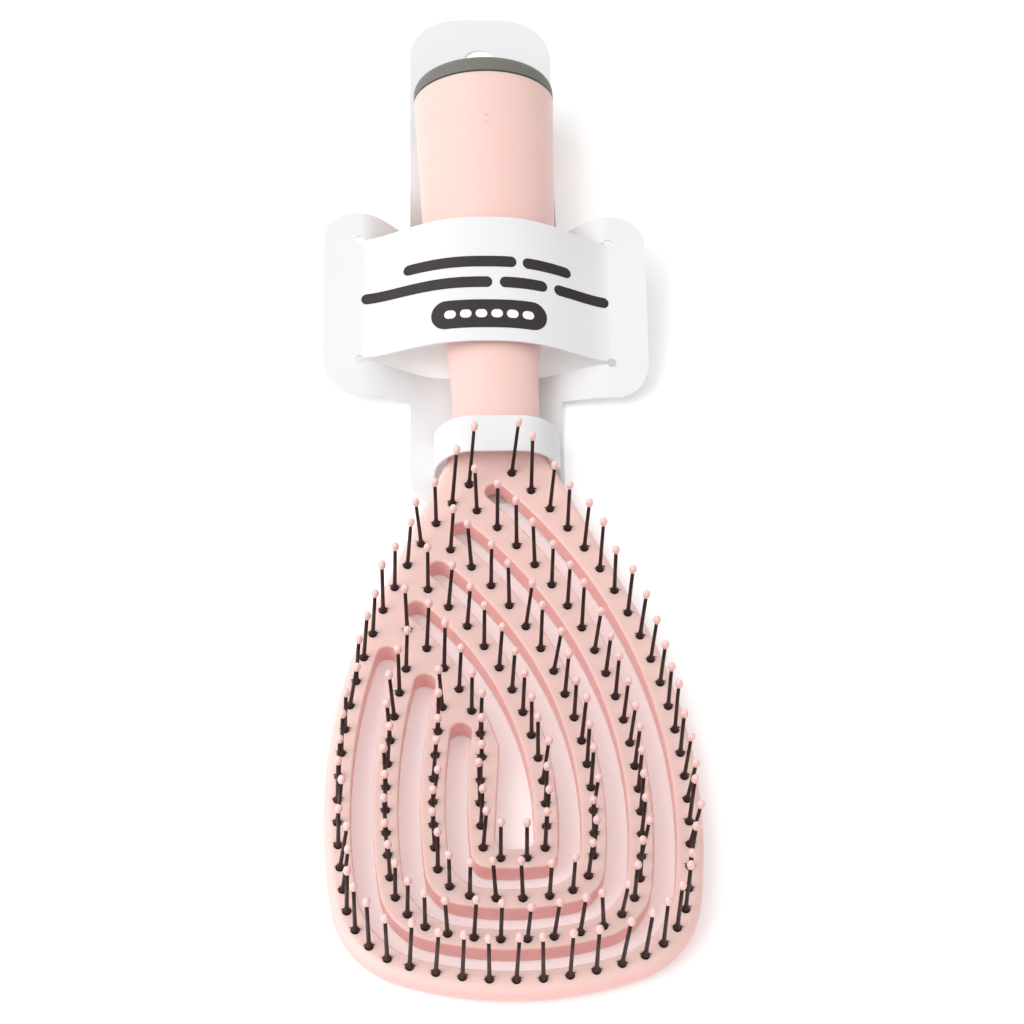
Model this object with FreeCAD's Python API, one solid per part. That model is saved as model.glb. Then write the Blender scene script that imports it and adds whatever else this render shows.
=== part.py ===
import FreeCAD, Part
import bisect
import math
import os

# Detangling brush lying on its back with the pins up, and the hang card that is threaded on its handle.
# Millimetres. X runs across the head, Y from the nose of the head to the base of the handle, Z is up.
# Pieces are made with Y counted from the nose, and are moved at the end so that the origin is on the
# ground under the middle of the whole.

# Head outline
head_width = 76.6
widest_y = 38.9
side_radius = 125.0
nose_radius = 73.3
corner_radius = 19.5
flank_angle = 23.6
shoulder_y = 121.5

# Head layers, from the ground up
back_thickness = 1.8
front_thickness = 4.2
face_edge_round = 2.0
slot_lip_round = 0.5
back_edge_round = 1.2
back_inset = 0.35
card_relief_start_y = 103.3
card_relief_end_y = 112.3
card_relief_height = 0.9

# Slots and ribs: widths on the two sides of the head, and across its nose
frame_width = 5.6
slot_width = 4.4
nose_frame_width = 4.6
nose_rib_width = 4.45
slot_count = 3
window_leg_x = 1.85

# Each slot sweeps up the right side to a tip: the outermost ends near the middle, the rest by the left flank
sweep_tip_inset = 8.4
sweep_tip_x = -0.8446
sweep_tip_y = 117.9
sweep_tip_step = 10.0
left_leg_radius = 128.0
left_tips_y = (76.8, 70.0, 58.1)
window_corner_round = 2.5

# Pins and their ball tips
pin_leg_pitch_low = 4.95
pin_leg_pitch_high = 6.25
pin_leg_low_y = 19.3
pin_leg_high_y = 91.3
pin_corner_pitch = 4.5
pin_nose_pitch = 5.3
pin_shaft_radius = 0.4
pin_root_radius = 0.9
pin_foot_radius = 1.4
pin_foot_thickness = 1.0
pin_cone_height = 1.2
pin_standing_height = 17.2
pin_hole_clearance = 0.05
tip_radius = 0.78
tip_socket_depth = 0.9
frame_row_inset = 2.9
frame_row_nose_inset = 2.6
frame_row_right_x = 2.9
frame_row_right_y = 122.6
frame_row_left_x = -6.5
frame_row_left_y = 119.7
inner_row_turn_y = 54.8
inner_row_turn_rise = 4.5
row_samples = 80

# Handle: an elliptic tube that swells behind the neck and then flares to the base
handle_bottom_z = 0.8
seam_y = 133.3
seam_depth = 9.0
neck_end_y = 140.3
neck_width = 19.4
neck_depth = 10.0
swell_start_y = 141.9
swell_end_y = 193.9
grip_width = 30.6
grip_depth = 20.0
base_y = 225.0
base_width = 33.0
base_depth = 23.0
handle_wall = 2.2
section_split = 22.0
neck_blend_y = 127.0
neck_blend_rise = 1.2
neck_blend_round = 2.8
handle_stations = 12

# Tongue of the head inside the neck, and skirt of the cap inside the base
tongue_length = 18.0
skirt_length = 9.0
skirt_wall = 1.6
plug_clearance = 0.15
cap_length = 7.1
cap_edge_round = 4.6
plug_stations = 4

# Hang card of stiff board
card_thickness = 0.4
card_stem_half_width = 17.0
card_stem_end_y = 118.9
card_stem_round = 6.0
card_tab_end_y = 264.1
card_tab_round = 12.0
hang_hole_radius = 4.0
hang_hole_to_end = 14.2
wing_half_width = 36.6
wing_lower_y = 145.5
wing_upper_y = 190.6
wing_round = 7.5
wing_slit_half_length = 28.3
wing_lower_slit_y = 153.1
wing_upper_slit_y = 183.0
slit_gap = 0.6
slit_stop_radius = 1.0
wing_lower_z = 3.4
wing_upper_z = 12.2
wing_tilt = 0.026
band_ramp_start_x = 10.0
band_fade_lower_y = 136.0
band_fade_upper_y = 214.0
wing_strap_clearance = 1.4
wing_strap_flatness = 2.5
wing_strap_shape = 1.8
neck_strap_lower_y = 124.4
neck_strap_upper_y = 134.5
neck_strap_half_width = 14.0
neck_strap_round = 9.0
neck_strap_shift = 2.1
neck_strap_height = 11.8
card_skew = 1.0
card_stem_points = 35
card_side_points = 12
card_end_points = 3
card_fade_stations = 6
card_band_stations = 3
card_strap_stations = 7

# How far a cutter reaches past what it cuts
overcut = 1.0

face_z = back_thickness + front_thickness
half_width = head_width / 2
slot_pitch = (half_width - frame_width - slot_width / 2 - window_leg_x) / slot_count
rib_width = slot_pitch - slot_width
nose_pitch = nose_rib_width + slot_width
up = FreeCAD.Vector(0, 0, 1)


def point(x, y, z=0.0):
    return FreeCAD.Vector(x, y, z)


def line(start, end):
    return Part.LineSegment(start, end).toShape()


def arc_about(center, start, end):
    """Arc of under half a circle about center."""
    radius = (start - center).Length
    middle = center + ((start - center) + (end - center)).normalize() * radius
    return Part.Arc(start, middle, end).toShape()


def prism(wire, bottom, top):
    """Upright solid over a closed plan wire."""
    body = Part.Face(wire).extrude(up * (top - bottom))
    body.translate(up * bottom)
    return body


# Plan of the head

def leg_inset(step):
    """Distance from the head's side to slot number step; a half step is the rib between two slots."""
    return frame_width + slot_width / 2 + step * slot_pitch


def leg_x(step):
    return half_width - leg_inset(step)


def nose_y(step):
    return nose_frame_width + slot_width / 2 + step * nose_pitch


def sweep_end_y(step):
    return sweep_tip_y - step * sweep_tip_step


def bend_through(leg, end_x, end_y):
    """Radius of the arc that is upright at the widest line of a leg and passes through an end."""
    aside = leg - end_x
    return (aside ** 2 + (end_y - widest_y) ** 2) / (2 * aside)


def sweep_bend(step):
    end_y = sweep_end_y(step)
    lead = flank_x(sweep_tip_y) + sweep_tip_x - sweep_tip_inset
    end_x = sweep_tip_inset + lead / (1 + step) - flank_x(end_y)
    return bend_through(leg_x(step), end_x, end_y)


def left_end_y(step):
    below, above = math.floor(step), math.ceil(step)
    return left_tips_y[below] + (left_tips_y[above] - left_tips_y[below]) * (step - below)


def side_center(leg, radius):
    return point(leg - radius, widest_y)


def on_side(leg, radius, y):
    """Point at height y on the side arc that is upright at the widest line."""
    return point(leg - radius + math.sqrt(radius ** 2 - (y - widest_y) ** 2), y)


def corner_arc(leg, radius, low_y, low_radius, corner):
    """Center and two ends of the corner that joins a side arc to the arc across the nose."""
    side = side_center(leg, radius)
    low = point(0, low_y + low_radius)
    reach = radius - corner
    low_reach = low_radius - corner
    apart = (low - side).Length
    along = (reach ** 2 - low_reach ** 2 + apart ** 2) / (2 * apart)
    across = math.sqrt(reach ** 2 - along ** 2)
    direction = (low - side).normalize()
    center = side + direction * along + point(direction.y, -direction.x) * across
    side_end = center + (center - side).normalize() * corner
    low_end = center + (center - low).normalize() * corner
    return center, side_end, low_end


def mirrored(place):
    return point(-place.x, place.y, place.z)


def bowl_edges(right, left, low_y, low_radius, corner, right_y, left_y):
    """Edges of a U: down the right side, across the nose and up the left side.
    right and left are each a pair: the leg's x and its bend radius."""
    right_center, right_side, right_low = corner_arc(*right, low_y, low_radius, corner)
    left_center, left_side, left_low = [mirrored(p) for p in corner_arc(*left, low_y, low_radius, corner)]
    low = point(0, low_y + low_radius)
    right_end = on_side(*right, right_y)
    left_end = mirrored(on_side(*left, left_y))
    return [
        arc_about(side_center(*right), right_end, right_side),
        arc_about(right_center, right_side, right_low),
        arc_about(low, right_low, left_low),
        arc_about(left_center, left_low, left_side),
        arc_about(mirrored(side_center(*left)), left_side, left_end),
    ]


def ring_edges(step, left_y):
    """Middle line of slot number step, or of the rib at a half step, up to left_y on its left leg."""
    return bowl_edges(
        (leg_x(step), sweep_bend(step)),
        (leg_x(step), left_leg_radius),
        nose_y(step),
        nose_radius - nose_y(step),
        corner_radius * leg_x(step) / half_width,
        sweep_end_y(step),
        left_y,
    )


def flank_x(y):
    """Half-width of the head's outline above its widest line."""
    turn_y = widest_y + side_radius * math.sin(math.radians(flank_angle))
    turn_x = half_width - side_radius * (1 - math.cos(math.radians(flank_angle)))
    if y <= turn_y:
        return on_side(half_width, side_radius, y).x
    return turn_x - (y - turn_y) * math.tan(math.radians(flank_angle))


def head_outline():
    turn_y = widest_y + side_radius * math.sin(math.radians(flank_angle))
    side = (half_width, side_radius)
    edges = bowl_edges(side, side, 0.0, nose_radius, corner_radius, turn_y, turn_y)
    right_turn = point(flank_x(turn_y), turn_y)
    right_end = point(flank_x(shoulder_y), shoulder_y)
    edges.append(line(mirrored(right_turn), mirrored(right_end)))
    edges.append(line(mirrored(right_end), right_end))
    edges.append(line(right_end, right_turn))
    return Part.Wire(edges)


def slot_cutters(extra, bottom, top):
    """Solids of all slots and the middle window, each wider by extra on every side."""
    reach = slot_width / 2 + extra
    cutters = []
    for step in range(slot_count):
        path = Part.Wire(ring_edges(step, left_end_y(step)))
        cutters.append(prism(path.makeOffset2D(reach), bottom, top))
    inner_rib = slot_count - 0.5
    leg = leg_x(slot_count)
    bend = sweep_bend(slot_count)
    window_low = nose_y(inner_rib) + nose_rib_width / 2
    window_left = rib_width / 2 - leg_x(inner_rib)
    tip = on_side(leg, bend, sweep_end_y(slot_count))
    leg_top = point(leg, widest_y)
    leg_low = point(leg, window_low + slot_width)
    sweep = Part.Wire([arc_about(side_center(leg, bend), tip, leg_top), line(leg_top, leg_low)])
    cutters.append(prism(sweep.makeOffset2D(reach), bottom, top))
    kink = on_side(leg, bend, inner_row_turn_y)
    corners = [
        point(window_left - extra, window_low - extra),
        point(leg + reach, window_low - extra),
        point(leg + reach, widest_y),
        kink,
        point(kink.x - reach, inner_row_turn_y),
    ]
    window = prism(Part.makePolygon(corners + corners[:1]), bottom, top)
    low_edges = [e for e in window.Edges if is_upright(e) and e.BoundBox.YMax < window_low + slot_lip_round]
    cutters.append(window.makeFillet(window_corner_round, low_edges))
    return cutters


def is_upright(edge):
    box = edge.BoundBox
    return box.ZLength > box.XLength + box.YLength


def level_face(body, z):
    """The largest flat face of body at height z."""
    faces = [f for f in body.Faces if f.BoundBox.ZMax - f.BoundBox.ZMin < 1e-6]
    faces = [f for f in faces if abs(f.BoundBox.ZMax - z) < 1e-6]
    return max(faces, key=lambda f: f.Area)


# Sections of the neck and the handle

def oval(y, half, bottom, top, corner):
    """Closed rounded section in the plane at y."""
    left_x, right_x = corner - half, half - corner
    low_z, high_z = bottom + corner, top - corner
    slant = corner * math.sqrt(0.5)
    edges = []
    for x, z, sign_x, sign_z in (
        (right_x, low_z, 1, -1),
        (right_x, high_z, 1, 1),
        (left_x, high_z, -1, 1),
        (left_x, low_z, -1, -1),
    ):
        flat = point(x, y, z + sign_z * corner)
        side = point(x + sign_x * corner, y, z)
        middle = point(x + sign_x * slant, y, z + sign_z * slant)
        ends = (flat, middle, side) if sign_x * sign_z < 0 else (side, middle, flat)
        edges.append(ends)
    sides = []
    for number, ends in enumerate(edges):
        sides.append(Part.Arc(*ends).toShape())
        sides.append(line(ends[2], edges[(number + 1) % 4][0]))
    return Part.Wire(sides)


def smooth_step(value):
    value = min(max(value, 0.0), 1.0)
    return value * value * (3 - 2 * value)


def handle_size(y):
    """Half-width and depth of the handle at y."""
    swell = smooth_step((y - swell_start_y) / (swell_end_y - swell_start_y))
    flare = max((y - swell_end_y) / (base_y - swell_end_y), 0.0)
    rise = min((y - seam_y) / (neck_end_y - seam_y), 1.0)
    width = neck_width + (grip_width - neck_width) * swell + (base_width - grip_width) * flare
    depth = seam_depth + (neck_depth - seam_depth) * rise
    depth += (grip_depth - neck_depth) * swell + (base_depth - grip_depth) * flare
    return width / 2, depth


def handle_oval(y, inset=0.0):
    """Elliptic section of the handle, with as many edges as oval() has, so that both can share a loft."""
    half, depth = handle_size(y)
    middle = point(0, y, handle_bottom_z + depth / 2)
    side = middle + point(half - inset, 0)
    top = middle + up * (depth / 2 - inset)
    ellipse = Part.Ellipse(side, top, middle)
    turns = [quarter + turn for quarter in (-90, 0, 90, 180) for turn in (section_split, 90 - section_split)]
    turns.append(270 + section_split)
    edges = []
    for start, end in zip(turns, turns[1:]):
        edges.append(Part.ArcOfEllipse(ellipse, math.radians(start), math.radians(end)).toShape())
    return Part.Wire(edges)


def handle_solid(start_y, end_y, stations, inset):
    """Solid that follows the handle's outside at a constant distance inside it."""
    wires = []
    for number in range(stations):
        wires.append(handle_oval(start_y + (end_y - start_y) * number / (stations - 1), inset))
    return Part.makeLoft(wires, True)


def handle_top_z(y):
    return handle_bottom_z + handle_size(y)[1]


# Rows of pins

def leg_pitch(place):
    """Pins stand further apart towards the top of the head."""
    share = smooth_step((place.y - pin_leg_low_y) / (pin_leg_high_y - pin_leg_low_y))
    return pin_leg_pitch_low + (pin_leg_pitch_high - pin_leg_pitch_low) * share


def row_points(edges):
    """Places of the pins along a row whose edges are a leg, a corner, the nose, a corner and a leg."""
    pitches = [leg_pitch, lambda place: pin_corner_pitch, lambda place: pin_nose_pitch]
    pitches += [lambda place: pin_corner_pitch] + [leg_pitch] * (len(edges) - 4)
    places = [edges[0].firstVertex().Point]
    counts = [0.0]
    for edge, pitch in zip(edges, pitches):
        for place in edge.discretize(Number=row_samples)[1:]:
            counts.append(counts[-1] + (place - places[-1]).Length / pitch((place + places[-1]) * 0.5))
            places.append(place)
    gaps = round(counts[-1])
    row = []
    for number in range(gaps + 1):
        wanted = counts[-1] * number / gaps
        after = min(bisect.bisect_left(counts, wanted, 1), len(counts) - 1)
        share = (wanted - counts[after - 1]) / (counts[after] - counts[after - 1])
        row.append(places[after - 1] + (places[after] - places[after - 1]) * share)
    return row


def inner_row_edges():
    """The inner row climbs its left leg, then leans over and follows the middle window's sweep."""
    step = slot_count - 0.5
    beyond = slot_count + 0.5
    edges = ring_edges(step, inner_row_turn_y)
    leg_end = mirrored(on_side(leg_x(step), left_leg_radius, inner_row_turn_y))
    leg, bend = leg_x(beyond), sweep_bend(beyond)
    lean_start = on_side(leg, bend, inner_row_turn_y + inner_row_turn_rise)
    edges.append(line(leg_end, lean_start))
    edges.append(arc_about(side_center(leg, bend), lean_start, on_side(leg, bend, sweep_end_y(beyond))))
    return edges


def frame_row_edges():
    leg = half_width - frame_row_inset
    return bowl_edges(
        (leg, bend_through(leg, frame_row_right_x, frame_row_right_y)),
        (leg, bend_through(leg, -frame_row_left_x, frame_row_left_y)),
        frame_row_nose_inset,
        nose_radius - frame_row_nose_inset,
        corner_radius - frame_row_inset,
        frame_row_right_y,
        frame_row_left_y,
    )


pin_rows = {
    "frame": row_points(frame_row_edges()),
    "outer_rib": row_points(ring_edges(0.5, left_end_y(0.5))),
    "middle_rib": row_points(ring_edges(1.5, left_end_y(1.5))),
    "inner_rib": row_points(inner_row_edges()),
}
pin_end_z = face_z + pin_standing_height - 2 * tip_radius + tip_socket_depth
tip_center_z = face_z + pin_standing_height - tip_radius


def turned(profile):
    """Solid of revolution from points (radius, height)."""
    places = [point(radius, 0, height) for radius, height in profile]
    return Part.Face(Part.makePolygon(places + places[:1])).revolve(point(0, 0), up, 360)


def make_pin():
    foot_top = back_thickness + pin_foot_thickness
    return turned([
        (0, back_thickness),
        (pin_foot_radius, back_thickness),
        (pin_foot_radius, foot_top),
        (pin_root_radius, foot_top),
        (pin_root_radius, face_z),
        (pin_shaft_radius, face_z + pin_cone_height),
        (pin_shaft_radius, pin_end_z),
        (0, pin_end_z),
    ])


def make_pin_hole():
    foot_top = back_thickness + pin_foot_thickness
    foot = Part.makeCylinder(pin_foot_radius + pin_hole_clearance, pin_foot_thickness, up * back_thickness)
    root = Part.makeCylinder(pin_root_radius + pin_hole_clearance, face_z - foot_top + overcut, up * foot_top)
    return foot.fuse(root)


def make_tip():
    ball = Part.makeSphere(tip_radius, up * tip_center_z)
    socket = Part.makeCylinder(pin_shaft_radius, 2 * tip_radius, up * (pin_end_z - 2 * tip_radius))
    return ball.cut(socket)


def at_each(shape, places):
    return Part.makeCompound([shape.translated(place) for place in places])


# Pieces

def make_head_front():
    plate = prism(head_outline(), back_thickness, face_z)
    outer_edges = level_face(plate, face_z).OuterWire.Edges
    outer_edges = [e for e in outer_edges if e.BoundBox.YMin < shoulder_y - 1e-6]
    plate = plate.makeFillet(face_edge_round, outer_edges)
    plate = plate.cut(slot_cutters(0.0, 0.0, face_z + overcut))
    lip_edges = []
    for wire in level_face(plate, face_z).Wires[1:]:
        lip_edges += wire.Edges
    plate = plate.makeFillet(slot_lip_round, lip_edges)
    blend_top = face_z + neck_blend_rise
    neck = Part.makeLoft([
        oval(shoulder_y, flank_x(shoulder_y), back_thickness, face_z, face_edge_round),
        oval(neck_blend_y, flank_x(neck_blend_y), (back_thickness + handle_bottom_z) / 2, blend_top,
             neck_blend_round),
        handle_oval(seam_y),
    ], True)
    tongue = handle_solid(seam_y, seam_y + tongue_length, plug_stations, handle_wall + plug_clearance)
    body = plate.fuse([neck, tongue]).removeSplitter()
    holes = [make_pin_hole().translated(place) for row in pin_rows.values() for place in row]
    return body.cut(holes)


def make_head_back():
    outline = head_outline().makeOffset2D(-back_inset)
    cover = prism(outline, 0.0, back_thickness)
    under_edges = level_face(cover, 0.0).OuterWire.Edges
    cover = cover.makeFillet(back_edge_round, under_edges)
    cover = cover.cut(slot_cutters(back_inset, -overcut, back_thickness + overcut))
    relief = Part.makePolygon([
        point(-half_width, card_relief_start_y, -overcut),
        point(-half_width, card_relief_start_y, 0),
        point(-half_width, card_relief_end_y, card_relief_height),
        point(-half_width, seam_y, card_relief_height),
        point(-half_width, seam_y, -overcut),
        point(-half_width, card_relief_start_y, -overcut),
    ])
    return cover.cut(Part.Face(relief).extrude(point(head_width, 0)))


def make_handle_tube():
    outside = handle_solid(seam_y, base_y, handle_stations, 0.0)
    return outside.cut(handle_solid(seam_y - overcut, base_y + overcut, handle_stations, handle_wall))


def make_base_cap():
    cap = Part.Face(handle_oval(base_y)).extrude(point(0, cap_length))
    rim = [e for e in cap.Edges if e.BoundBox.YMin > base_y + cap_length - 1e-6]
    cap = cap.makeFillet(cap_edge_round, rim)
    inset = handle_wall + plug_clearance
    skirt = handle_solid(base_y - skirt_length, base_y, plug_stations, inset)
    hollow = handle_solid(base_y - skirt_length, base_y, plug_stations, inset + skirt_wall)
    return cap.fuse(skirt.cut(hollow)).removeSplitter()


def card_sheet(spans, ys, height):
    """Sheet of the card over places in spans, which follow each other along X; height(x, y) is its underside.
    Sheets that meet have the same spans and the same ys along their common edge."""
    sections = []
    for y in ys:
        low, high = [], []
        for xs in spans:
            for lift, curves in ((0.0, low), (card_thickness, high)):
                curve = Part.BSplineCurve()
                curve.interpolate([point(x, y, height(x, y) + lift) for x in xs])
                curves.append(curve.toShape())
        first, last = spans[0][0], spans[-1][-1]
        left = line(point(first, y, height(first, y) + card_thickness), point(first, y, height(first, y)))
        right = line(point(last, y, height(last, y)), point(last, y, height(last, y) + card_thickness))
        sections.append(Part.Wire(low + [right] + high[::-1] + [left]))
    return Part.makeLoft(sections, True, True)


def spread(start, end, count):
    return [start + (end - start) * number / (count - 1) for number in range(count)]


def wing_z(x, y):
    """Height of the wing's free ends: they rise from the lower edge to the upper, and a little towards -X."""
    below_top = 1 - (y - wing_lower_y) / (wing_upper_y - wing_lower_y)
    return wing_lower_z + (wing_upper_z - wing_lower_z) * (1 - below_top ** 2) - wing_tilt * x


def ramp_z(x, y):
    """Height of the bands under the handle, which curl up on both sides of it to meet the wing's ends."""
    share = smooth_step((abs(x) - band_ramp_start_x) / (wing_slit_half_length - band_ramp_start_x))
    level = min(max(y, wing_lower_y), wing_upper_y)
    fade = smooth_step((y - band_fade_lower_y) / (wing_lower_y - band_fade_lower_y))
    fade *= smooth_step((band_fade_upper_y - y) / (band_fade_upper_y - wing_upper_y))
    return wing_z(x, level) * share * fade


def strap_z(x, y):
    bell = max(1 - abs(x / wing_slit_half_length) ** wing_strap_flatness, 0.0) ** wing_strap_shape
    return wing_z(x, y) + (handle_top_z(y) + wing_strap_clearance - wing_z(x, y)) * bell


def rounded_plan(low_x, high_x, low_y, high_y, low_round, high_round):
    """Rectangle in plan with one rounding at its low-y corners and another at its high-y corners."""
    box = Part.makeBox(high_x - low_x, high_y - low_y, 1, point(low_x, low_y))
    upright = [e for e in box.Edges if is_upright(e)]
    box = box.makeFillet(low_round, [e for e in upright if e.BoundBox.YMax < (low_y + high_y) / 2])
    upright = [e for e in box.Edges if is_upright(e) and e.BoundBox.YMin > high_y - 1e-6]
    square = [e for e in upright if abs(abs(e.BoundBox.XMin) - max(abs(low_x), abs(high_x))) < 1e-6]
    box = box.makeFillet(high_round, square)
    return level_face(box, 0.0).OuterWire


def make_hang_card():
    gap = slit_gap / 2
    stem_half = card_stem_half_width
    slit_half = wing_slit_half_length
    flat = prism(
        rounded_plan(-stem_half, stem_half, card_stem_end_y, card_tab_end_y, card_stem_round, card_tab_round),
        0.0, card_thickness,
    )
    curled = Part.makeBox(
        2 * stem_half, band_fade_upper_y - band_fade_lower_y, 2 * overcut,
        point(-stem_half, band_fade_lower_y, -overcut),
    )
    neck_gap_half = neck_strap_half_width - card_thickness
    neck_gap = Part.makeBox(
        2 * neck_gap_half, neck_strap_upper_y - neck_strap_lower_y + slit_gap, 2 * overcut,
        point(neck_strap_shift - neck_gap_half, neck_strap_lower_y - gap, -overcut),
    )
    stem = [spread(-stem_half, stem_half, card_stem_points)]
    band = [spread(-slit_half, -stem_half, card_side_points)] + stem
    band.append(spread(stem_half, slit_half, card_side_points))
    lower_ys = spread(wing_lower_y, wing_lower_slit_y - gap, card_band_stations)
    strap_ys = spread(wing_lower_slit_y + gap, wing_upper_slit_y - gap, card_strap_stations)
    upper_ys = spread(wing_upper_slit_y + gap, wing_upper_y, card_band_stations)
    pieces = [
        card_sheet(stem, spread(band_fade_lower_y, wing_lower_y, card_fade_stations), ramp_z),
        card_sheet(band, lower_ys, ramp_z),
        card_sheet(band, strap_ys, strap_z),
        card_sheet(band, upper_ys, ramp_z),
        card_sheet(stem, spread(wing_upper_y, band_fade_upper_y, card_fade_stations), ramp_z),
    ]
    plan = rounded_plan(-wing_half_width, wing_half_width, wing_lower_y, wing_upper_y, wing_round, wing_round)
    for first, last in ((-wing_half_width, -slit_half), (slit_half, wing_half_width)):
        end = card_sheet([spread(first, last, card_end_points)], lower_ys + strap_ys + upper_ys, wing_z)
        pieces.append(end.common(prism(plan, 0.0, base_depth)))
    neck_strap_length = neck_strap_upper_y - neck_strap_lower_y - slit_gap
    arches = []
    for inset in (0.0, card_thickness):
        section = oval(neck_strap_lower_y + gap, neck_strap_half_width - inset, inset - neck_strap_height,
                       neck_strap_height - inset, neck_strap_round - inset)
        arches.append(Part.Face(section).extrude(point(0, neck_strap_length)))
    arch = arches[0].cut(arches[1]).translated(point(neck_strap_shift, 0))
    above_ground = Part.makeBox(head_width, card_tab_end_y, base_depth, point(-half_width, 0))
    pieces.append(arch.common(above_ground))
    card = flat.cut([curled, neck_gap]).multiFuse(pieces).removeSplitter()
    hang_hole = point(0, card_tab_end_y - hang_hole_to_end)
    holes = [Part.makeCylinder(hang_hole_radius, 2 * overcut, hang_hole - up * overcut)]
    for side in (-1, 1):
        for y in (wing_lower_slit_y, wing_upper_slit_y):
            holes.append(Part.makeCylinder(slit_stop_radius, base_depth, point(side * slit_half, y)))
    card = card.cut(holes)
    card.rotate(hang_hole, up, -card_skew)
    return card


pieces = {
    "head_front": make_head_front(),
    "head_back": make_head_back(),
    "handle_tube": make_handle_tube(),
    "base_cap": make_base_cap(),
    "hang_card": make_hang_card(),
}
for row, places in pin_rows.items():
    pieces["pins_" + row] = at_each(make_pin(), places)
    pieces["tips_" + row] = at_each(make_tip(), places)

os.makedirs("parts", exist_ok=True)
to_middle = point(0, -card_tab_end_y / 2)
for name, shape in pieces.items():
    placed = shape.translated(to_middle)
    placed.exportStep("parts/" + name + ".step")
    print(name, "solids", len(placed.Solids), "volume", round(placed.Volume, 1), "valid", placed.isValid())
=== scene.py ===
import math
import random

import bmesh
import bpy
from mathutils import Matrix, Vector
from mathutils.bvhtree import BVHTree


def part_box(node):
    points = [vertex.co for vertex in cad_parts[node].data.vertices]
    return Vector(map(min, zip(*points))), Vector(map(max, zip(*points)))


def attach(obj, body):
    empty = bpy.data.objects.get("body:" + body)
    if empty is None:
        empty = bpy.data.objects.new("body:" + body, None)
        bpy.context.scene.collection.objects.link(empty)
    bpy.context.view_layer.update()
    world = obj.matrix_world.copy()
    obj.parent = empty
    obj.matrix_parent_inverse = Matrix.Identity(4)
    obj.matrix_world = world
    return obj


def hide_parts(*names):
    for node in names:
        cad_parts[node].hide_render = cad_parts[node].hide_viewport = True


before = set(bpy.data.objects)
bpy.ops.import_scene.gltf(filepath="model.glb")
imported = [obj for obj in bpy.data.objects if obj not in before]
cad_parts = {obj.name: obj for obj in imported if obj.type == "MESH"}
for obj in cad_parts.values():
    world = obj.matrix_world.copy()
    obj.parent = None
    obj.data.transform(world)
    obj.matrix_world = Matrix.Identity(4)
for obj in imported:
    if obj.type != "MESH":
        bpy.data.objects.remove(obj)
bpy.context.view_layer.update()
scene = bpy.context.scene


# Back cover of the head: a thin pink moulding with the same slots as the front plate, glued under it.
# It closes the holes that hold the pins, and shows inside the slots and from behind.

def linear(red, green, blue):
    """Linear colour of an 8-bit display colour."""
    shares = [value / 255 for value in (red, green, blue)]
    return [((s + 0.055) / 1.055) ** 2.4 if s > 0.04045 else s / 12.92 for s in shares] + [1.0]


def add_object(name, mesh):
    piece = bpy.data.objects.new(name, mesh)
    scene.collection.objects.link(piece)
    return piece


def plain_mesh(piece):
    """Mesh of a piece with its modifiers applied."""
    return bpy.data.meshes.new_from_object(piece.evaluated_get(bpy.context.evaluated_depsgraph_get()))


merge_reach = 3e-6


def smooth_copy(node, name, sharp_degrees):
    """Copy of a CAD node with merged vertices, and faces that are smooth up to an angle between them."""
    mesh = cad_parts[node].data.copy()
    for attribute in ("custom_normal", "sharp_face", "sharp_edge"):
        if attribute in mesh.attributes:
            mesh.attributes.remove(mesh.attributes[attribute])
    shape = bmesh.new()
    shape.from_mesh(mesh)
    bmesh.ops.remove_doubles(shape, verts=shape.verts, dist=merge_reach)
    for face in shape.faces:
        face.smooth = True
    shape.to_mesh(mesh)
    shape.free()
    mesh.materials.clear()
    mesh.set_sharp_from_angle(angle=math.radians(sharp_degrees))
    holder = add_object(name + "_holder", mesh)
    weights = holder.modifiers.new("weights", "WEIGHTED_NORMAL")
    weights.keep_sharp = True
    weights.mode = "FACE_AREA_WITH_ANGLE"
    piece = add_object(name, plain_mesh(holder))
    bpy.data.objects.remove(holder)
    return piece


def add_node(material, kind, **values):
    """New shader node with settings, or values of inputs, given by name."""
    node = material.node_tree.nodes.new(kind)
    for name, value in values.items():
        if hasattr(node, name):
            setattr(node, name, value)
        else:
            node.inputs[name.replace("_", " ").title()].default_value = value
    return node


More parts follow.
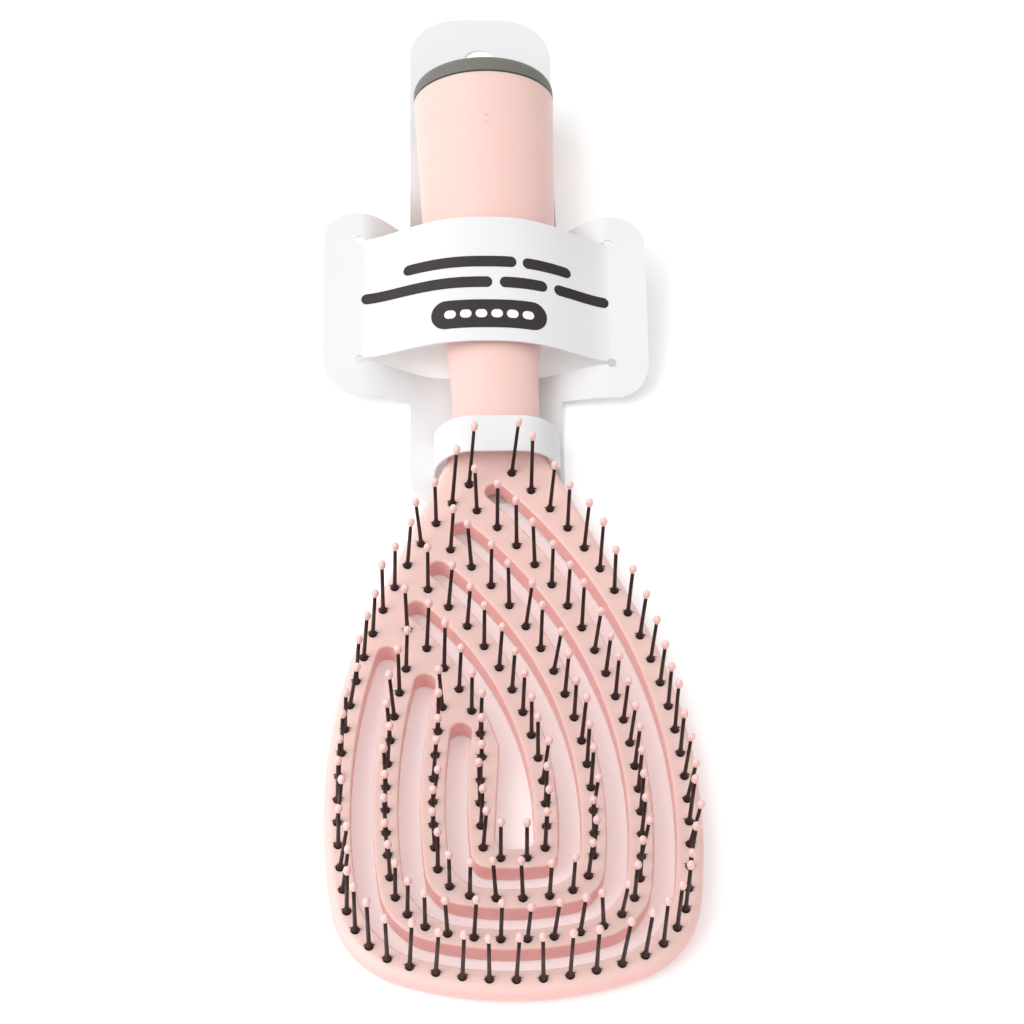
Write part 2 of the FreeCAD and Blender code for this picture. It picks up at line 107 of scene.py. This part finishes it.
def moulded_plastic(name, light, deep, painted_bounce, painted_bounce_share, roughness):
    """Finely grained plastic whose colour drifts from light to deep, with painted bounce light: upright
    faces turn towards a redder pink that stands in for light bounced between slot walls.
    """
    material = bpy.data.materials.new(name)
    material.use_nodes = True
    join = material.node_tree.links.new
    shader = material.node_tree.nodes["Principled BSDF"]
    place = add_node(material, "ShaderNodeTexCoord")
    drift = add_node(material, "ShaderNodeTexNoise", scale=26.0, detail=3.0)
    join(place.outputs["Object"], drift.inputs["Vector"])
    body = add_node(material, "ShaderNodeMix", data_type="RGBA")
    body.inputs[6].default_value = light
    body.inputs[7].default_value = deep
    join(drift.outputs["Fac"], body.inputs[0])
    facing = add_node(material, "ShaderNodeSeparateXYZ")
    join(place.outputs["Normal"], facing.inputs["Vector"])
    level = add_node(material, "ShaderNodeMath", operation="ABSOLUTE")
    join(facing.outputs["Z"], level.inputs[0])
    # Painted bounce light: the more upright a face, the more it turns to the redder pink that stands in for
    # light bounced inside the slots.
    painted_bounce_mask = add_node(material, "ShaderNodeMapRange")
    painted_bounce_mask.inputs["From Min"].default_value = 0.0
    painted_bounce_mask.inputs["From Max"].default_value = 0.75
    painted_bounce_mask.inputs["To Min"].default_value = painted_bounce_share
    painted_bounce_mask.inputs["To Max"].default_value = 0.0
    join(level.outputs["Value"], painted_bounce_mask.inputs["Value"])
    painted_bounce_mix = add_node(material, "ShaderNodeMix", data_type="RGBA")
    painted_bounce_mix.inputs[7].default_value = painted_bounce
    join(painted_bounce_mask.outputs["Result"], painted_bounce_mix.inputs[0])
    join(body.outputs[2], painted_bounce_mix.inputs[6])
    join(painted_bounce_mix.outputs[2], shader.inputs["Base Color"])
    grain = add_node(material, "ShaderNodeTexNoise", scale=3200.0, detail=2.0)
    join(place.outputs["Object"], grain.inputs["Vector"])
    polish = add_node(material, "ShaderNodeMapRange")
    polish.inputs["To Min"].default_value = roughness - 0.06
    polish.inputs["To Max"].default_value = roughness + 0.06
    join(grain.outputs["Fac"], polish.inputs["Value"])
    join(polish.outputs["Result"], shader.inputs["Roughness"])
    bump = add_node(material, "ShaderNodeBump")
    bump.inputs["Strength"].default_value = 0.06
    bump.inputs["Distance"].default_value = 0.0001
    join(grain.outputs["Fac"], bump.inputs["Height"])
    join(bump.outputs["Normal"], shader.inputs["Normal"])
    shader.inputs["Subsurface Weight"].default_value = 0.5
    shader.inputs["Subsurface Radius"].default_value = (1.0, 0.45, 0.35)
    shader.inputs["Subsurface Scale"].default_value = 0.002
    return material


head_sharp = 35
face_pink = linear(243, 209, 202)
deep_pink = linear(239, 201, 194)
# Painted bounce light: a redder pink put on upright faces, standing in for light bounced between the slot
# walls.
painted_bounce_pink = linear(250, 190, 187)
head_plastic = moulded_plastic("pink_head", face_pink, deep_pink, painted_bounce_pink,
                               painted_bounce_share=0.85, roughness=0.42)

head_back = smooth_copy("head_back", "head_back_cover", head_sharp)
head_back.data.materials.append(head_plastic)
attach(head_back, "brush")
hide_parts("head_back")


# Front of the head: a pink moulded plate with a frame and swept ribs between its slots, run out into
# the neck that plugs into the handle. Its outline is softly rounded and its slots have small lips.

head_front = smooth_copy("head_front", "head_front_plate", head_sharp)
head_front.data.materials.append(head_plastic)
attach(head_front, "brush")
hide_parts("head_front")


# Pins: dark brown nylon, pushed up through the plate from behind. Each has a round collar where it
# leaves the face, with two small points of flash, and a slim straight shaft.

rows = ("frame", "outer_rib", "middle_rib", "inner_rib")
plate_thickness = 0.0042
face_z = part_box("pins_frame")[0].z + plate_thickness
end_slice = 1e-4
pin_reach = 1.5e-3
pin_sides = 8
full_size = 1.0

# Sizes of a pin in millimetres: radius and height above the face along it, and its points of flash.
pin_height = (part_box("tips_frame")[1].z - face_z) * 1e3
pin_collar = ((0.76, -0.5), (0.77, 0.15), (0.73, 0.6), (0.58, 1.0), (0.44, 1.55))
pin_profile = pin_collar + ((0.40, pin_height / 2), (0.38, pin_height - 1.6))
flash_root = 0.4
flash_half_width = 0.15
flash_low = 0.45
flash_high = 1.0
flash_reach = 1.4
flash_height = 0.6

# Leans in degrees: a small spread for every pin, then what the pins past a place share. The four pins
# nearest the neck have their own turns, forward and sideways, counted from the neck.
lean_seed = 11
lean_spread = 1.6
twist_radians = 0.25
nose_end_y = -0.115
nose_forward = 4.0
left_flank_x = -0.02
left_sideways = 3.0
rib_nose_y = -0.09
rib_backward = 2.5
neck_turns = {1: (7.0, 5.8), 2: (15.5, 7.2), 3: (12.0, 0.4), 4: (11.5, 0.9)}


def pin_places(row):
    """Middle of the upper end of every pin in a CAD row, at the height of the face."""
    node = "pins_" + row
    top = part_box(node)[1].z
    groups = []
    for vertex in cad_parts[node].data.vertices:
        if vertex.co.z < top - end_slice:
            continue
        near = [group for group in groups if (group[0] - vertex.co).length < pin_reach]
        if near:
            near[0].append(vertex.co.copy())
        else:
            groups.append([vertex.co.copy()])
    places = []
    for group in groups:
        xs = [co.x for co in group]
        ys = [co.y for co in group]
        places.append(Vector(((min(xs) + max(xs)) / 2, (min(ys) + max(ys)) / 2, face_z)))
    return places


def turned(name, profile, sides):
    """Mesh of revolution about Z through points (radius, height) in millimetres, closed at both ends."""
    shape = bmesh.new()
    rings = []
    for radius, height in profile:
        ring = []
        for number in range(sides):
            angle = 2 * math.pi * number / sides
            corner = (radius * math.cos(angle) / 1e3, radius * math.sin(angle) / 1e3, height / 1e3)
            ring.append(shape.verts.new(corner))
        rings.append(ring)
    for low, high in zip(rings, rings[1:]):
        for number in range(sides):
            after = (number + 1) % sides
            shape.faces.new((low[number], low[after], high[after], high[number]))
    shape.faces.new(rings[0][::-1])
    shape.faces.new(rings[-1])
    for face in shape.faces:
        face.smooth = len(face.verts) == 4
    mesh = bpy.data.meshes.new(name)
    shape.to_mesh(mesh)
    shape.free()
    return mesh


def pin_leans():
    """Places of all pins with the turn of each, in the order of the rows.
    The frame row leans inwards at the nose and on the left, and the pins by the neck lean most."""
    chance = random.Random(lean_seed)
    found = []
    for row in rows:
        places = pin_places(row)
        for place in places:
            rank = sum(other.y >= place.y for other in places)
            forward = math.radians(chance.gauss(0.0, lean_spread))
            sideways = math.radians(chance.gauss(0.0, lean_spread))
            if row == "frame" and place.y < nose_end_y:
                forward += math.radians(nose_forward)
            elif row == "frame" and place.x < left_flank_x:
                sideways += math.radians(left_sideways)
            elif row == "frame" and rank in neck_turns:
                forward, sideways = [math.radians(turn) for turn in neck_turns[rank]]
            elif row != "frame" and place.y < rib_nose_y:
                forward -= math.radians(rib_backward)
            found.append((place, (-forward, sideways, chance.uniform(-twist_radians, twist_radians))))
    return found


def points_object(name, found):
    """Loose points that carry the turn of what stands on each."""
    mesh = bpy.data.meshes.new(name)
    mesh.from_pydata([place for place, turn in found], [], [])
    lean = mesh.attributes.new("lean", "FLOAT_VECTOR", "POINT")
    for number, (place, turn) in enumerate(found):
        lean.data[number].vector = turn
    return add_object(name, mesh)


def stand_on_points():
    """Geometry Nodes group: a shape on each point, turned by its lean, made real with a material."""
    group = bpy.data.node_groups.new("stand_on_points", "GeometryNodeTree")
    group.interface.new_socket("Points", in_out="INPUT", socket_type="NodeSocketGeometry")
    group.interface.new_socket("Shape", in_out="INPUT", socket_type="NodeSocketObject")
    group.interface.new_socket("Size", in_out="INPUT", socket_type="NodeSocketFloat")
    group.interface.new_socket("Material", in_out="INPUT", socket_type="NodeSocketMaterial")
    group.interface.new_socket("Mesh", in_out="OUTPUT", socket_type="NodeSocketGeometry")
    nodes = group.nodes
    join = group.links.new
    given = nodes.new("NodeGroupInput")
    made = nodes.new("NodeGroupOutput")
    shape = nodes.new("GeometryNodeObjectInfo")
    lean = nodes.new("GeometryNodeInputNamedAttribute")
    lean.data_type = "FLOAT_VECTOR"
    lean.inputs["Name"].default_value = "lean"
    stand = nodes.new("GeometryNodeInstanceOnPoints")
    real = nodes.new("GeometryNodeRealizeInstances")
    paint = nodes.new("GeometryNodeSetMaterial")
    join(given.outputs["Shape"], shape.inputs["Object"])
    join(given.outputs["Points"], stand.inputs["Points"])
    join(shape.outputs["Geometry"], stand.inputs["Instance"])
    join(lean.outputs["Attribute"], stand.inputs["Rotation"])
    join(given.outputs["Size"], stand.inputs["Scale"])
    join(stand.outputs["Instances"], real.inputs["Geometry"])
    join(real.outputs["Geometry"], paint.inputs["Geometry"])
    join(given.outputs["Material"], paint.inputs["Material"])
    join(paint.outputs["Geometry"], made.inputs["Mesh"])
    return group


def stand_all(name, found, mesh, material):
    """Plain mesh piece with a copy of mesh on every found place."""
    points = points_object(name + "_points", found)
    shape = add_object(name + "_shape", mesh)
    modifier = points.modifiers.new("stand", "NODES")
    modifier.node_group = standing
    values = {"Shape": shape, "Size": full_size, "Material": material}
    for socket in standing.interface.items_tree:
        if socket.in_out == "INPUT" and socket.name in values:
            modifier[socket.identifier] = values[socket.name]
    piece = add_object(name, plain_mesh(points))
    bpy.data.objects.remove(points)
    bpy.data.objects.remove(shape)
    return piece


def add_flash(mesh):
    """Two thin points left and right of a pin's collar."""
    shape = bmesh.new()
    shape.from_mesh(mesh)
    for side in (-1, 1):
        near = side * flash_root
        low_corners = ((near, -flash_half_width, flash_low), (near, flash_half_width, flash_low))
        corners = low_corners + ((near, 0.0, flash_high),)
        root = [shape.verts.new([value / 1e3 for value in corner]) for corner in corners]
        tip = shape.verts.new((side * flash_reach / 1e3, 0.0, flash_height / 1e3))
        for number in range(3):
            shape.faces.new((root[number], root[(number + 1) % 3], tip))
    bmesh.ops.recalc_face_normals(shape, faces=shape.faces)
    shape.to_mesh(mesh)
    shape.free()


def streaked(name, dark, warm, roughness):
    """Dull finish of nylon or ink that drifts between two tones in fine streaks."""
    material = bpy.data.materials.new(name)
    material.use_nodes = True
    join = material.node_tree.links.new
    shader = material.node_tree.nodes["Principled BSDF"]
    place = add_node(material, "ShaderNodeTexCoord")
    streaks = add_node(material, "ShaderNodeTexNoise", scale=420.0, detail=2.0)
    join(place.outputs["Object"], streaks.inputs["Vector"])
    color = add_node(material, "ShaderNodeMix", data_type="RGBA")
    color.inputs[6].default_value = dark
    color.inputs[7].default_value = warm
    join(streaks.outputs["Fac"], color.inputs[0])
    join(color.outputs[2], shader.inputs["Base Color"])
    shader.inputs["Roughness"].default_value = roughness
    shader.inputs["Specular IOR Level"].default_value = 0.3
    return material


standing = stand_on_points()
leaning_pins = pin_leans()
pin_mesh = turned("pin", pin_profile, pin_sides)
add_flash(pin_mesh)
pin_dark = linear(28, 13, 12)
pin_warm = linear(56, 29, 26)
pin_nylon = streaked("pin_nylon", pin_dark, pin_warm, roughness=0.45)
pins = stand_all("pins", leaning_pins, pin_mesh, pin_nylon)
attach(pins, "brush")
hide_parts(*["pins_" + row for row in rows])


# Tips: a pink drop on the end of every pin, moulded round the shaft so that it can't come off.
# It is rounder at the top than where it meets the shaft. Sizes are radius and depth below the pin's top.

tip_drop = ((0.42, 2.2), (0.62, 1.95), (0.78, 1.5), (0.82, 1.05), (0.74, 0.55), (0.51, 0.13), (0.2, -0.05))
tip_profile = [(radius, pin_height - below) for radius, below in tip_drop]
tip_sides = 10
tip_pink = linear(240, 203, 200)
tip_deep = linear(234, 192, 189)
# The tips' upright sides take a small share of the painted bounce pink.
tip_plastic = moulded_plastic("pink_tips", tip_pink, tip_deep, painted_bounce_pink, painted_bounce_share=0.15, roughness=0.38)
tips = stand_all("tips", leaning_pins, turned("tip", tip_profile, tip_sides), tip_plastic)
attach(tips, "brush")
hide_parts(*["tips_" + row for row in rows])


# Handle: a hollow pink tube of oval section that swells from the neck to the grip. It is pushed over
# the head's tongue and left with the mould's smooth polish. Two tiny pips stand on its top near the end.

handle_pink = linear(236, 202, 195)
handle_deep = linear(233, 197, 190)
handle_sharp = 40
# The handle's upright sides take a small share of the painted bounce pink, as painted shade and bounce
# light.
handle_plastic = moulded_plastic("pink_handle", handle_pink, handle_deep, painted_bounce_pink,
                                 painted_bounce_share=0.1, roughness=0.38)
handle = smooth_copy("handle_tube", "handle_shell", handle_sharp)
handle.data.materials.append(handle_plastic)
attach(handle, "brush")
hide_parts("handle_tube")

above_all = 0.1


def surface_tree(piece):
    """Tree of a piece's faces, for finding places on its surface."""
    mesh = piece.data
    return BVHTree.FromPolygons([v.co for v in mesh.vertices], [p.vertices for p in mesh.polygons])


def top_place(tree, x, y):
    """Highest place of a surface at x and y, looked for downwards from above the whole object."""
    return tree.ray_cast(Vector((x, y, above_all)), Vector((0.0, 0.0, -1.0)))[0]


pip_profile = ((0.42, -0.2), (0.42, 0.02), (0.3, 0.08))
pip_ys = (0.0786, 0.0805)
handle_tree = surface_tree(handle)
upright_turn = (0.0, 0.0, 0.0)
pip_places = [(top_place(handle_tree, 0.0, pip_y), upright_turn) for pip_y in pip_ys]
pips = stand_all("handle_pips", pip_places, turned("pip", pip_profile, tip_sides), handle_plastic)
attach(pips, "brush")


# Base cap: a dark grey rounded plug in the end of the handle, which the brush can stand on.
# A narrow dark seam shows where it meets the pink tube.

def cap_rubber(name, grey, seam, seam_y, seam_width):
    """Matt grey with a speckle, darker within seam_width of the plane at seam_y."""
    material = bpy.data.materials.new(name)
    material.use_nodes = True
    join = material.node_tree.links.new
    shader = material.node_tree.nodes["Principled BSDF"]
    place = add_node(material, "ShaderNodeTexCoord")
    speckle = add_node(material, "ShaderNodeTexNoise", scale=1400.0, detail=3.0)
    join(place.outputs["Object"], speckle.inputs["Vector"])
    shade = add_node(material, "ShaderNodeMix", data_type="RGBA")
    shade.inputs[6].default_value = grey
    shade.inputs[7].default_value = [value * 0.75 for value in grey[:3]] + [1.0]
    join(speckle.outputs["Fac"], shade.inputs[0])
    along = add_node(material, "ShaderNodeSeparateXYZ")
    join(place.outputs["Object"], along.inputs["Vector"])
    near = add_node(material, "ShaderNodeMapRange")
    near.inputs["From Min"].default_value = seam_y + seam_width * 0.6
    near.inputs["From Max"].default_value = seam_y + seam_width
    near.inputs["To Min"].default_value = 1.0
    near.inputs["To Max"].default_value = 0.0
    join(along.outputs["Y"], near.inputs["Value"])
    color = add_node(material, "ShaderNodeMix", data_type="RGBA")
    color.inputs[7].default_value = seam
    join(near.outputs["Result"], color.inputs[0])
    join(shade.outputs[2], color.inputs[6])
    join(color.outputs[2], shader.inputs["Base Color"])
    shader.inputs["Roughness"].default_value = 0.55
    return material


cap_grey = linear(117, 116, 108)
cap_seam = linear(55, 49, 45)
seam_width = 0.0007
handle_end_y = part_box("handle_tube")[1].y
base_cap = smooth_copy("base_cap", "base_cap_plug", handle_sharp)
base_cap.data.materials.append(cap_rubber("grey_cap", cap_grey, cap_seam, handle_end_y, seam_width))
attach(base_cap, "brush")
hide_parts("base_cap")


# Hang card: stiff white board threaded on the handle and the neck by two straps that slits set free.
# Its bands curl up beside the handle, and its tab with the hang hole lies under the handle's end.

def white_board(name, white, shade, passing):
    """Coated board: faint cloudy tone, fine fibres in the bump, and a share of light passing through."""
    material = bpy.data.materials.new(name)
    material.use_nodes = True
    join = material.node_tree.links.new
    shader = material.node_tree.nodes["Principled BSDF"]
    place = add_node(material, "ShaderNodeTexCoord")
    clouds = add_node(material, "ShaderNodeTexNoise", scale=60.0, detail=4.0)
    join(place.outputs["Object"], clouds.inputs["Vector"])
    color = add_node(material, "ShaderNodeMix", data_type="RGBA")
    color.inputs[6].default_value = white
    color.inputs[7].default_value = shade
    join(clouds.outputs["Fac"], color.inputs[0])
    join(color.outputs[2], shader.inputs["Base Color"])
    fibres = add_node(material, "ShaderNodeTexNoise", scale=2600.0, detail=3.0)
    join(place.outputs["Object"], fibres.inputs["Vector"])
    bump = add_node(material, "ShaderNodeBump")
    bump.inputs["Strength"].default_value = 0.05
    bump.inputs["Distance"].default_value = 0.0001
    join(fibres.outputs["Fac"], bump.inputs["Height"])
    join(bump.outputs["Normal"], shader.inputs["Normal"])
    shader.inputs["Roughness"].default_value = 0.5
    through = add_node(material, "ShaderNodeBsdfTranslucent")
    through.inputs["Color"].default_value = white
    mixed = add_node(material, "ShaderNodeMixShader")
    mixed.inputs["Fac"].default_value = passing
    join(shader.outputs["BSDF"], mixed.inputs[1])
    join(through.outputs["BSDF"], mixed.inputs[2])
    join(mixed.outputs["Shader"], material.node_tree.nodes["Material Output"].inputs["Surface"])
    return material


card_white = linear(237, 237, 238)
card_shade = linear(233, 233, 235)
card_passing = 0.12
card_sharp = 30
card = smooth_copy("hang_card", "card_board", card_sharp)
card.data.materials.append(white_board("white_board", card_white, card_shade, card_passing))
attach(card, "card")
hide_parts("hang_card")


# Print on the card: flat ink on the strap, in plain dark bars in two rows and a dark pill with light
# blocks. Places are in millimetres across the card, and along it from the nose of the head.

card_turn = math.radians(-1.0)
card_pivot = Vector((0.0, 0.11785))
nose_y = 0.13205
ink_lift = 6e-5
ink_columns = 40
ink_heights = 5
upper_row = (171.9, 1.25)
lower_row = (167.1, 1.25)
upper_bars = ((-18.5, 6.9), (8.3, 19.3))
lower_bars = ((-28.0, 1.4), (3.1, 13.8), (15.4, 27.9))
pill_ends = (-12.3, 13.6)
pill_row = (159.7, 3.3)
light_row = (159.7, 0.95)
light_blocks = 6
light_left = -9.4
light_pitch = 3.5
light_width = 2.6
ink_dark = linear(40, 36, 35)
ink_worn = linear(52, 47, 45)
ink_light = linear(240, 240, 241)
ink_light_worn = linear(230, 230, 232)
board_tree = surface_tree(card)


def on_board(across, along, lift):
    """Place on the turned and bent card, lifted off its face by the ink."""
    flat = Vector((across / 1e3, along / 1e3 - nose_y)) - card_pivot
    flat.rotate(Matrix.Rotation(card_turn, 2))
    flat += card_pivot
    return top_place(board_tree, flat.x, flat.y) + Vector((0.0, 0.0, lift))


def add_bar(ink, left, right, middle, radius, lift):
    """Bar of ink with round ends, laid on the bent card; its columns crowd together towards the ends."""
    first = len(ink["places"])
    for column in range(ink_columns + 1):
        share = (1 - math.cos(math.pi * column / ink_columns)) / 2
        across = left + (right - left) * share
        aside = max(left + radius - across, across - right + radius, 0.0)
        reach = math.sqrt(max(radius ** 2 - aside ** 2, 0.0))
        for height in range(ink_heights):
            along = middle + reach * (2 * height / (ink_heights - 1) - 1)
            ink["places"].append(on_board(across, along, lift))
    for column in range(ink_columns):
        for height in range(ink_heights - 1):
            corner = first + column * ink_heights + height
            ink["faces"].append((corner, corner + ink_heights, corner + ink_heights + 1, corner + 1))


def ink_piece(name, ink, color, worn):
    """Printed piece whose ink varies a little in tone."""
    mesh = bpy.data.meshes.new(name)
    mesh.from_pydata(ink["places"], [], ink["faces"])
    mesh.materials.append(streaked(name, color, worn, roughness=0.5))
    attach(add_object(name, mesh), "card")


dark_bars = {"places": [], "faces": []}
for left, right in upper_bars:
    add_bar(dark_bars, left, right, *upper_row, ink_lift)
for left, right in lower_bars:
    add_bar(dark_bars, left, right, *lower_row, ink_lift)
add_bar(dark_bars, *pill_ends, *pill_row, ink_lift)
ink_piece("card_print", dark_bars, ink_dark, ink_worn)
light_bars = {"places": [], "faces": []}
for number in range(light_blocks):
    start = light_left + number * light_pitch
    add_bar(light_bars, start, start + light_width, *light_row, 2 * ink_lift)
ink_piece("card_print_light", light_bars, ink_light, ink_light_worn)


# Floor and light: a plain white studio table that glows a little, a surround that is brighter on the
# left, and two soft lights from the upper left. The camera looks down on the brush from its nose.

floor_mesh = bpy.data.meshes.new("floor")
floor_reach = 3.0
floor_gap = 0.0002
floor_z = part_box("head_back")[0].z - floor_gap
floor_sides = ((-1, -1), (1, -1), (1, 1), (-1, 1))
floor_corners = [(x * floor_reach, y * floor_reach, floor_z) for x, y in floor_sides]
floor_mesh.from_pydata(floor_corners, [], [(0, 1, 2, 3)])
floor_glow = 0.13
floor_white = linear(250, 250, 250)
floor_shade = linear(249, 249, 249)
floor_board = white_board("white_floor", floor_white, floor_shade, passing=0.0)
floor_shader = floor_board.node_tree.nodes["Principled BSDF"]
floor_shader.inputs["Emission Color"].default_value = (1.0, 1.0, 1.0, 1.0)
floor_shader.inputs["Emission Strength"].default_value = floor_glow
floor_mesh.materials.append(floor_board)
add_object("floor", floor_mesh)

bright_side = (-0.5, -0.2, 0.84)
world = bpy.data.worlds.new("studio")
world.use_nodes = True
world_join = world.node_tree.links.new
direction = world.node_tree.nodes.new("ShaderNodeTexCoord")
towards = world.node_tree.nodes.new("ShaderNodeVectorMath")
towards.operation = "DOT_PRODUCT"
towards.inputs[1].default_value = bright_side
world_join(direction.outputs["Generated"], towards.inputs[0])
glow = world.node_tree.nodes.new("ShaderNodeMapRange")
glow.inputs["From Min"].default_value = -0.3
glow.inputs["From Max"].default_value = 1.0
glow.inputs["To Min"].default_value = 0.45
glow.inputs["To Max"].default_value = 1.15
world_join(towards.outputs["Value"], glow.inputs["Value"])
surround = world.node_tree.nodes["Background"]
surround.inputs["Color"].default_value = (1.0, 0.99, 0.98, 1.0)
world_join(glow.outputs["Result"], surround.inputs["Strength"])
scene.world = world


def add_softbox(name, place, aim, width, power):
    """Round area light that faces a point."""
    light = bpy.data.lights.new(name, "AREA")
    light.shape = "DISK"
    light.size = width
    light.energy = power
    softbox = add_object(name, light)
    softbox.location = place
    softbox.rotation_euler = (Vector(aim) - Vector(place)).to_track_quat("-Z", "Y").to_euler()


add_softbox("key", place=(-0.75, 0.55, 1.4), aim=(0.0, 0.0, 0.0), width=1.2, power=3.0)
add_softbox("front", place=(-0.95, -0.35, 1.1), aim=(0.0, -0.03, 0.0), width=1.0, power=8.0)

camera = bpy.data.cameras.new("camera")
camera.sensor_width = 36.0
camera.lens = 98.44
camera.clip_start = 0.01
viewer = add_object("camera", camera)
viewer.location = (-0.02341, -0.35987, 0.50607)
viewer.rotation_euler = [math.radians(angle) for angle in (34.28, -1.47, -2.21)]
scene.camera = viewer
scene.view_settings.view_transform = "Standard"
